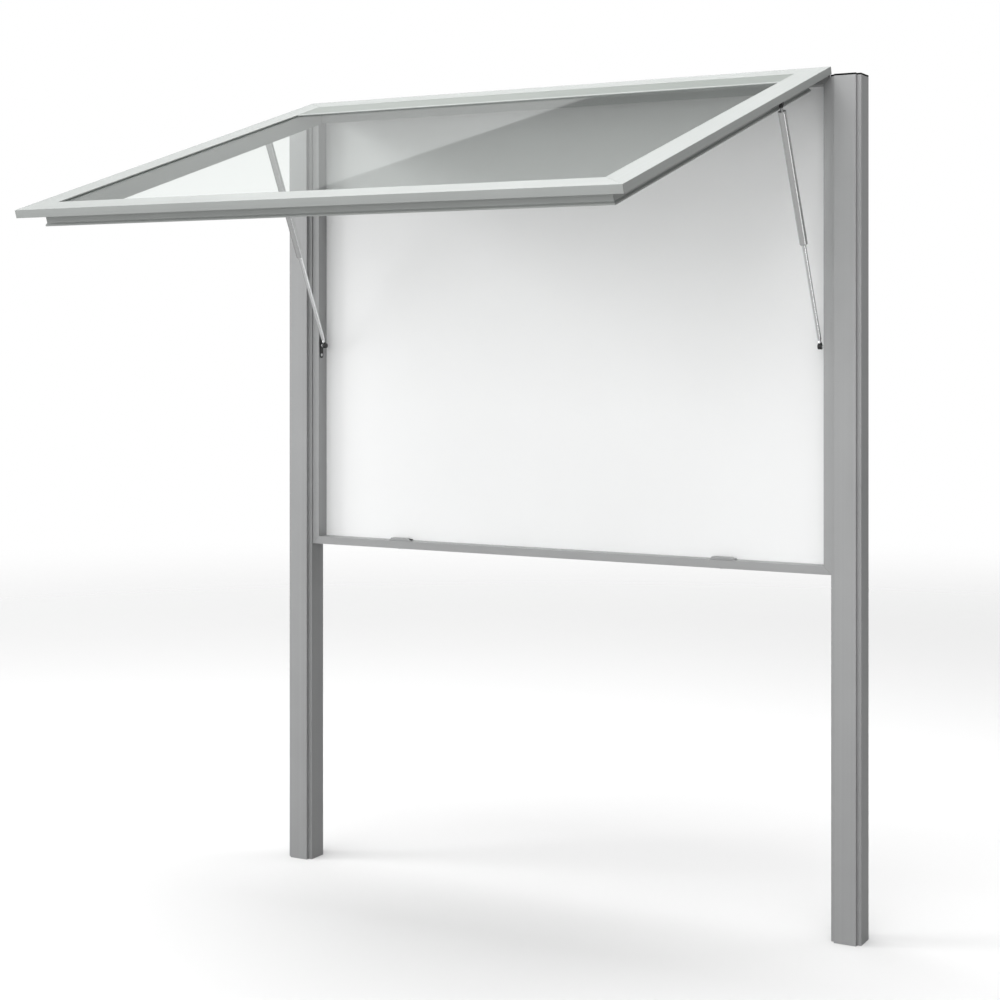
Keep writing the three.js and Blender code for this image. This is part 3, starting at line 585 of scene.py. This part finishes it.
def show(bm, name, material, body=None, slot=None, stands_for=()):
    """Puts a finished mesh into the scene on its body."""
    mesh = bpy.data.meshes.new(name)
    bm.to_mesh(mesh)
    bm.free()
    for extra in [layer.name for layer in mesh.attributes if layer.name == "custom_normal"]:
        mesh.attributes.remove(mesh.attributes[extra])
    mesh.materials.clear()
    mesh.materials.append(material)
    mesh.shade_smooth()
    mesh.set_sharp_from_angle(angle=SHARP_ANGLE)
    piece = bpy.data.objects.new(name, mesh)
    scene.collection.objects.link(piece)
    even = piece.modifiers.new("flat faces stay flat", "WEIGHTED_NORMAL")
    even.keep_sharp = True
    if stands_for:
        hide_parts(*stands_for)
        body = body or nodes[stands_for[0]]["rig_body"]
        slot = slot or slot_of[stands_for[0]]
    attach(piece, body)
    return piece


print("finish slots of", len(slot_of), "nodes known")

# %% [markdown]
# ## Easing the hard edges
# A sawn and anodised extrusion has no razor edges: the die leaves a small radius that catches
# the light as a thin line. A copy of each node is merged, its coplanar triangles are
# dissolved into whole faces, and then every sharp edge is bevelled.

# %% Helper that eases a node
FLAT = math.radians(1)
HARD = math.radians(32)
WELD_DISTANCE = 0.002 * MM


def whole_copy(node):
    """A merged copy of a node, with whole flat faces."""
    bm = bmesh.new()
    bm.from_mesh(nodes[node].data)
    bmesh.ops.remove_doubles(bm, verts=bm.verts, dist=WELD_DISTANCE)
    bmesh.ops.dissolve_limit(bm, angle_limit=FLAT, verts=bm.verts, edges=bm.edges)
    return bm


def ease_edges(bm, ease, segments=2, chosen=lambda edge: True):
    """Bevels every hard edge that the choice lets through."""
    hard = [edge for edge in bm.edges if edge.is_manifold and edge.calc_face_angle() > HARD]
    bmesh.ops.bevel(
        bm, geom=[edge for edge in hard if chosen(edge)], offset=ease, offset_type="OFFSET",
        affect="EDGES", segments=segments, profile=0.5, material=-1, clamp_overlap=True,
    )
    return bm


def eased(node, ease, material, segments=2):
    """A copy of a node with its hard edges eased, which stands for it."""
    return show(ease_edges(whole_copy(node), ease, segments), f"{node}_eased", material, stands_for=[node])


print("eased copies stand for their nodes")

# %% [markdown]
# ## Posts, case and wing bars
# The posts and stiles take the upright lines, the rails the level ones. The caps are thin
# black plastic lids, duller than the other plastics because they lie in the weather.

# %% Posts and caps
POST_EASE = 0.5 * MM
CAP_EASE = 0.5 * MM
sides = ["left", "right"]
for side in sides:
    eased(f"{side}_post", POST_EASE, upright_aluminium, segments=3)
    eased(f"{side}_post_cap", CAP_EASE, cap_plastic, segments=3)
print("posts and caps eased by", POST_EASE / MM, "mm")

# %% Case and wing bars
BAR_EASE = 0.5 * MM
for end in ["top", "bottom"]:
    eased(f"case_{end}_rail", BAR_EASE, level_aluminium)
    eased(f"wing_{end}_rail", BAR_EASE, wing_level)
for side in sides:
    eased(f"case_{side}_stile", BAR_EASE, upright_aluminium)
    eased(f"wing_{side}_stile", BAR_EASE, wing_upright)
print("eight bars eased by", BAR_EASE / MM, "mm")

# %% Board, rear sheet, header and pane
SHEET_EASE = 0.3 * MM
eased("pin_board", SHEET_EASE, board_white)
eased("rear_sheet", SHEET_EASE, level_aluminium)
eased("header_panel", SHEET_EASE, header_film)
eased("header_edge", SHEET_EASE, edge_film)
eased("glass_pane", SHEET_EASE, glass)
print("five sheets eased")

# %% [markdown]
# ## Seals
# The seals are soft strips of foam rubber with rounded backs that bear on the case.

# %% Seals
SEAL_EASE = 1.5 * MM
for end in ["left", "right", "top", "bottom"]:
    eased(f"seal_{end}", SEAL_EASE, rubber, segments=4)
print("four seals")

# %% [markdown]
# ## Turned parts
# Tubes, rods, cups and studs are made on a lathe, so here they are spun as well: a profile of
# radius and height goes once round Z. The poles are closed by merging, and then the mesh is
# turned and moved to its place, because a finished piece's own origin stays at the world's.

# %% Helpers for turned parts
SPIN_STEPS = 48
MERGE = 0.004 * MM


def spun(profile, ring=False):
    """A round body from (radius, height) points in millimetres; a ring's profile is closed."""
    bm = bmesh.new()
    points = [bm.verts.new((radius * MM, 0, height * MM)) for radius, height in profile]
    ends = points[1:] + points[:1] if ring else points[1:]
    for first, second in zip(points, ends):
        bm.edges.new((first, second))
    bmesh.ops.spin(
        bm, geom=bm.verts[:] + bm.edges[:], cent=(0, 0, 0), axis=(0, 0, 1), dvec=(0, 0, 0),
        angle=math.tau, steps=SPIN_STEPS, use_merge=True, use_normal_flip=False, use_duplicate=False,
    )
    bmesh.ops.remove_doubles(bm, verts=bm.verts, dist=MERGE)
    bmesh.ops.recalc_face_normals(bm, faces=bm.faces)
    return bm


def curve_points(centre, radius, start, end, count):
    """Points of an arc in a profile, angles in degrees."""
    angles = [math.radians(start + (end - start) * step / count) for step in range(count + 1)]
    return [(centre[0] + radius * math.cos(a), centre[1] + radius * math.sin(a)) for a in angles]


def set_along(bm, place, direction):
    """Moves a body from the origin to a place, its Z axis along a direction."""
    turn = Vector(direction).to_track_quat("Z", "Y").to_matrix().to_4x4()
    bmesh.ops.transform(bm, matrix=Matrix.Translation(place) @ turn, verts=bm.verts)
    return bm


def gathered(*bodies):
    """Several bodies in one mesh."""
    whole = bmesh.new()
    for body in bodies:
        spare = bpy.data.meshes.new("spare")
        body.to_mesh(spare)
        body.free()
        whole.from_mesh(spare)
        bpy.data.meshes.remove(spare)
    return whole


print("lathe helpers ready")

# %% [markdown]
# ## Gas struts
# A gas strut is a painted steel tube, rolled in at its lower end round a plastic guide, and a
# plated rod with a piston on it. Both ends carry a short threaded steel neck and a plastic
# cup that snaps over a ball. Heights run from the ball on the stile up to the ball on the wing.

# %% Where the struts are
STRUT_LENGTH = 575.233
up = Vector(joints["strut_left_slide"]["axis"]).normalized()
upper_ball = {side: Vector(joints[f"strut_{side}_swing"]["pos_m"]) for side in sides}
lower_ball = {side: upper_ball[side] - up * STRUT_LENGTH * MM for side in sides}
outward = {"left": Vector((-1, 0, 0)), "right": Vector((1, 0, 0))}
print("lower balls", [tuple(round(value, 4) for value in lower_ball[side]) for side in sides])

# %% Tube and guide
TUBE_RADIUS = 9
TUBE_BORE = 7.5
TUBE_FOOT = 247.933
TUBE_HEAD = 557.933
TUBE_ROUND = 2
ROLL = 3.2
WALL = TUBE_RADIUS - TUBE_BORE
WIPER_FOOT = TUBE_FOOT + 0.8
WIPER_RIM = 5.65
GUIDE_EYE = 5.05
GUIDE_RIM = 7.2
GUIDE_FOOT = TUBE_FOOT + ROLL + 0.2
GUIDE_HEAD = TUBE_FOOT + 12


def tube_profile():
    """From the inner floor down the bore, round the rolled lip and up the outside."""
    roll_centre = (TUBE_RADIUS - ROLL, TUBE_FOOT + ROLL)
    inner = curve_points(roll_centre, ROLL - WALL, 0, -90, 5)
    outer = curve_points(roll_centre, ROLL, -90, 0, 8)
    head = curve_points((TUBE_RADIUS - TUBE_ROUND, TUBE_HEAD - TUBE_ROUND), TUBE_ROUND, 0, 90, 5)
    return [(0, TUBE_HEAD - WALL), (TUBE_BORE, TUBE_HEAD - WALL), *inner, *outer, *head, (0, TUBE_HEAD)]


def guide_profile():
    """A ring inside the tube with a thin wiper round the rod."""
    return [
        (GUIDE_EYE, WIPER_FOOT), (WIPER_RIM, WIPER_FOOT), (WIPER_RIM, GUIDE_FOOT),
        (GUIDE_RIM, GUIDE_FOOT), (GUIDE_RIM, GUIDE_HEAD), (GUIDE_EYE, GUIDE_HEAD),
    ]


for side in sides:
    tube = set_along(spun(tube_profile()), lower_ball[side], up)
    show(tube, f"strut_{side}_tube_rolled", tube_grey, stands_for=[f"strut_{side}_tube"])
    guide = set_along(spun(guide_profile(), ring=True), lower_ball[side], up)
    show(guide, f"strut_{side}_guide_ring", black_plastic, stands_for=[f"strut_{side}_guide"])
print("two tubes with rolled feet and their guides")

# %% Rod and piston
ROD_RADIUS = 4.8
ROD_FOOT = 17.3
ROD_HEAD = TUBE_FOOT + 30
ROD_CHAMFER = 0.8
PISTON_RADIUS = 7.25
PISTON_FOOT = ROD_HEAD - 8
GROOVE_RADIUS = PISTON_RADIUS - 1
GROOVE_FOOT = PISTON_FOOT + 3
GROOVE_HEAD = PISTON_FOOT + 5


def rod_profile():
    """A ground rod with a chamfered foot and a grooved piston."""
    return [
        (0, ROD_FOOT), (ROD_RADIUS - ROD_CHAMFER, ROD_FOOT), (ROD_RADIUS, ROD_FOOT + ROD_CHAMFER),
        (ROD_RADIUS, PISTON_FOOT), (PISTON_RADIUS, PISTON_FOOT), (PISTON_RADIUS, GROOVE_FOOT),
        (GROOVE_RADIUS, GROOVE_FOOT), (GROOVE_RADIUS, GROOVE_HEAD), (PISTON_RADIUS, GROOVE_HEAD),
        (PISTON_RADIUS, ROD_HEAD), (0, ROD_HEAD),
    ]


for side in sides:
    rod = set_along(spun(rod_profile()), lower_ball[side], up)
    show(rod, f"strut_{side}_rod_ground", bright_steel, stands_for=[f"strut_{side}_rod"])
print("two rods of", 2 * ROD_RADIUS, "mm")

# %% [markdown]
# ## Cups, necks and ball studs
# The cup is moulded round a steel neck, whose thread shows between the plastic and the tube.
# Inside it is hollow to the ball's size. The ball stud has a waist, which lets the cup tilt,
# and a collar that is riveted to the bracket.

# %% Cups and necks
BALL_RADIUS = 4
CUP_HOLLOW = 4.25
CUP_RADIUS = 6.5
CUP_MOUTH = -3.2
CUP_BACK = 6
CUP_ROUND = 1.6
CUP_LIP = 0.6
SLEEVE_FOOT = 5.2
SLEEVE_SHOULDER = 8.7
SLEEVE_HEAD = 9.5
SLEEVE_RADII = (4.6, 4.4, 3.8)
NECK_RADIUS = 3.4
NECK_CORE = 3
NECK_FOOT = SLEEVE_HEAD - 1
NECK_HEAD = ROD_FOOT + 0.4
THREAD_PITCH = 1.0
THREAD_DEPTH = 0.35


def cup_profile():
    """Down the ball's hollow, round the mouth and over the cup's back."""
    mouth_angle = math.degrees(math.asin(CUP_MOUTH / CUP_HOLLOW))
    hollow = curve_points((0, 0), CUP_HOLLOW, 90, mouth_angle, 14)
    rim = curve_points((CUP_RADIUS - CUP_LIP, CUP_MOUTH + CUP_LIP), CUP_LIP, -90, 0, 3)
    back = curve_points((CUP_RADIUS - CUP_ROUND, CUP_BACK - CUP_ROUND), CUP_ROUND, 0, 90, 6)
    return [(0, CUP_HOLLOW), *hollow[1:], *rim, *back, (0, CUP_BACK)]


def sleeve_profile():
    """The tapered sleeve of plastic between the cup and the steel neck."""
    heights = (SLEEVE_FOOT, SLEEVE_SHOULDER, SLEEVE_HEAD)
    return [(0, SLEEVE_FOOT), *zip(SLEEVE_RADII, heights), (0, SLEEVE_HEAD)]


def neck_profile():
    """A threaded neck from inside the sleeve to inside the tube's or rod's end."""
    turns = int((ROD_FOOT - SLEEVE_HEAD) / THREAD_PITCH)
    ridges = []
    for turn in range(turns):
        foot = SLEEVE_HEAD + turn * THREAD_PITCH
        ridges += [(NECK_RADIUS - THREAD_DEPTH, foot), (NECK_RADIUS, foot + THREAD_PITCH / 2)]
    return [(0, NECK_FOOT), (NECK_CORE, NECK_FOOT), *ridges, (NECK_CORE, NECK_HEAD), (0, NECK_HEAD)]


ends = {
    "upper": {"ball": upper_ball, "along": -up, "back": 1, "body": "cylinder"},
    "lower": {"ball": lower_ball, "along": up, "back": -1, "body": "piston"},
}
for side in sides:
    for end, facts in ends.items():
        ball = facts["ball"][side]
        cup = set_along(spun(cup_profile()), ball, facts["back"] * outward[side])
        sleeve = set_along(spun(sleeve_profile()), ball, facts["along"])
        name = f"strut_{side}_{end}_socket"
        show(gathered(cup, sleeve), f"{name}_cup", black_plastic, stands_for=[name])
        neck = set_along(spun(neck_profile()), ball, facts["along"])
        body = f"strut_{side}_{facts['body']}"
        show(neck, f"strut_{side}_{end}_neck", bright_steel, body=body, slot="bright_steel")
print("four cups on threaded necks")

# %% Ball studs
STUD_FOOT = {"upper": 10.4, "lower": 9.0}
STUD_COLLAR = 4
STUD_COLLAR_HEIGHT = 1.7
STUD_CHAMFER = 0.4
STUD_WAIST = 2.2
FILLET = 0.5


def stud_profile(foot):
    """A collar, a waist and a ball."""
    collar_top = foot - STUD_COLLAR_HEIGHT
    waist_angle = -math.degrees(math.acos(STUD_WAIST / BALL_RADIUS))
    fillet = curve_points((STUD_WAIST + FILLET, FILLET - collar_top), FILLET, 270, 180, 3)
    return [
        (0, -foot), (STUD_COLLAR, -foot), (STUD_COLLAR, -collar_top - STUD_CHAMFER),
        (STUD_COLLAR - STUD_CHAMFER, -collar_top), *fillet,
        *curve_points((0, 0), BALL_RADIUS, waist_angle, 90, 14)[:-1], (0, BALL_RADIUS),
    ]


for side in sides:
    for end, facts in ends.items():
        stud = spun(stud_profile(STUD_FOOT[end]))
        stud = set_along(stud, facts["ball"][side], facts["back"] * outward[side])
        name = f"strut_{side}_{end}_stud"
        show(stud, f"{name}_turned", bright_steel, stands_for=[name])
print("four ball studs")

# %% [markdown]
# ## Brackets
# Each stud stands on a narrow coated plate with round ends, held by two countersunk screws.
# The plates are the model's own, with their corners rounded; the screws are spun and set
# where the plate's long axis says, which on the wing is turned with it.

# %% Plates and screws
PLATE_ROUND = 6.8 * MM
PLATE_EASE = 0.3 * MM
SCREW_SPREAD = 24 * MM
SCREW_HEAD = 3.6
SCREW_RIM = 3.4
SCREW_PROUD = 0.25
SCREW_EDGE = -0.1
SCREW_SHANK = 2.2
SCREW_FOOT = -1.2
SOCKET_RIM = 1.5
SOCKET_FLOOR = 1.3
SOCKET_DEPTH = -0.6
CROSSWAYS = 0.99
wing_turned = Matrix.Rotation(-WING_TURN, 3, "X")
plate_along = {"upper": wing_turned @ Vector((0, 0, 1)), "lower": Vector((0, 0, 1))}


def screw_profile():
    """A countersunk head with a round socket, its top a little proud of the plate."""
    return [
        (0, SCREW_FOOT), (SCREW_SHANK, SCREW_FOOT), (SCREW_HEAD, SCREW_EDGE), (SCREW_RIM, SCREW_PROUD),
        (SOCKET_RIM, SCREW_PROUD), (SOCKET_FLOOR, SOCKET_DEPTH), (0, SOCKET_DEPTH),
    ]


def rounded_plate(node):
    """The node's plate with round ends and softened rims."""
    sideways = lambda edge: abs((edge.verts[0].co - edge.verts[1].co).normalized().x) > CROSSWAYS
    bm = ease_edges(whole_copy(node), PLATE_ROUND, 8, sideways)
    return ease_edges(bm, PLATE_EASE, 2, lambda edge: not sideways(edge))


for side in sides:
    for end, facts in ends.items():
        node = f"strut_{side}_{end}_bracket"
        face_out = facts["back"] * outward[side]
        low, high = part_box(node)
        face_x = (high if face_out.x > 0 else low)[0]
        show(rounded_plate(node), f"{node}_rounded", black_steel, stands_for=[node])
        centre = facts["ball"][side].copy()
        centre.x = face_x
        places = [centre + plate_along[end] * SCREW_SPREAD * sign for sign in (-1, 1)]
        screws = gathered(*[set_along(spun(screw_profile()), place, face_out) for place in places])
        show(screws, f"{node}_screws", zinc_steel, body=nodes[node]["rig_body"], slot="bright_steel")
print("four plates with eight screws")

# %% [markdown]
# ## Lock covers and what stays as measured
# Two low aluminium covers on the bottom rail hide the push locks. A small stop sits on each
# cover's right slope, black on the left cover and plain on the right one. Cleats, bolts,
# barrels, push bolts and key plugs are small and already right: they keep the model's own
# mesh and only get their finish.

# %% Lock covers and stops
COVER_EASE = 0.6 * MM
STOP_SIZE = Vector((8, 9, 3)) * MM
STOP_FROM_END = 6.5 * MM
STOP_RISE = 3.6 * MM
STOP_EASE = 1.2 * MM
STOP_FINISHES = {"left": (black_plastic, "black_plastic"), "right": (level_aluminium, "anodised")}
for side in sides:
    node = f"lock_{side}_cover"
    low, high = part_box(node)
    eased(node, COVER_EASE, level_aluminium, segments=3)
    stop = bmesh.new()
    bmesh.ops.create_cube(stop, size=1)
    place = Vector((high[0] - STOP_FROM_END, (low[1] + high[1]) / 2, low[2] + STOP_RISE))
    bmesh.ops.scale(stop, vec=STOP_SIZE, verts=stop.verts)
    bmesh.ops.translate(stop, vec=place, verts=stop.verts)
    material, slot = STOP_FINISHES[side]
    show(ease_edges(stop, STOP_EASE, 4), f"lock_{side}_stop", material, body="root", slot=slot)
print("two covers with stops")

# %% Finishes for the nodes that stay
kept = [name for name in nodes if "cleat" in name or "case_bolt" in name]
kept += [f"lock_{side}_{part}" for side in sides for part in ("barrel", "bolt", "key_plug")]
for name in kept:
    nodes[name].data.materials.clear()
    nodes[name].data.materials.append(zinc_steel)
print(len(kept), "nodes keep their mesh")

# %% [markdown]
# ## Hinge ends
# The wing's bead slides into its socket from the side. A small bright plug closes each end,
# where the photograph shows a glint beside the post.

# %% Hinge plugs
PLUG_RADIUS = 3.0
PLUG_FROM = 698.5
PLUG_LENGTH = 2.0
PLUG_ROUND = 1
hinge_line = Vector(joints["wing_hinge"]["pos_m"])
plug_rim = curve_points((PLUG_RADIUS - PLUG_ROUND, PLUG_LENGTH - PLUG_ROUND), PLUG_ROUND, 0, 90, 5)
plug_profile = [(0, 0), (PLUG_RADIUS, 0), *plug_rim, (0, PLUG_LENGTH)]
for side in sides:
    place = hinge_line + outward[side] * PLUG_FROM * MM
    plug = set_along(spun(plug_profile), place, outward[side])
    show(plug, f"hinge_{side}_plug", bright_steel, body="root", slot="bright_steel")
print("two hinge plugs")
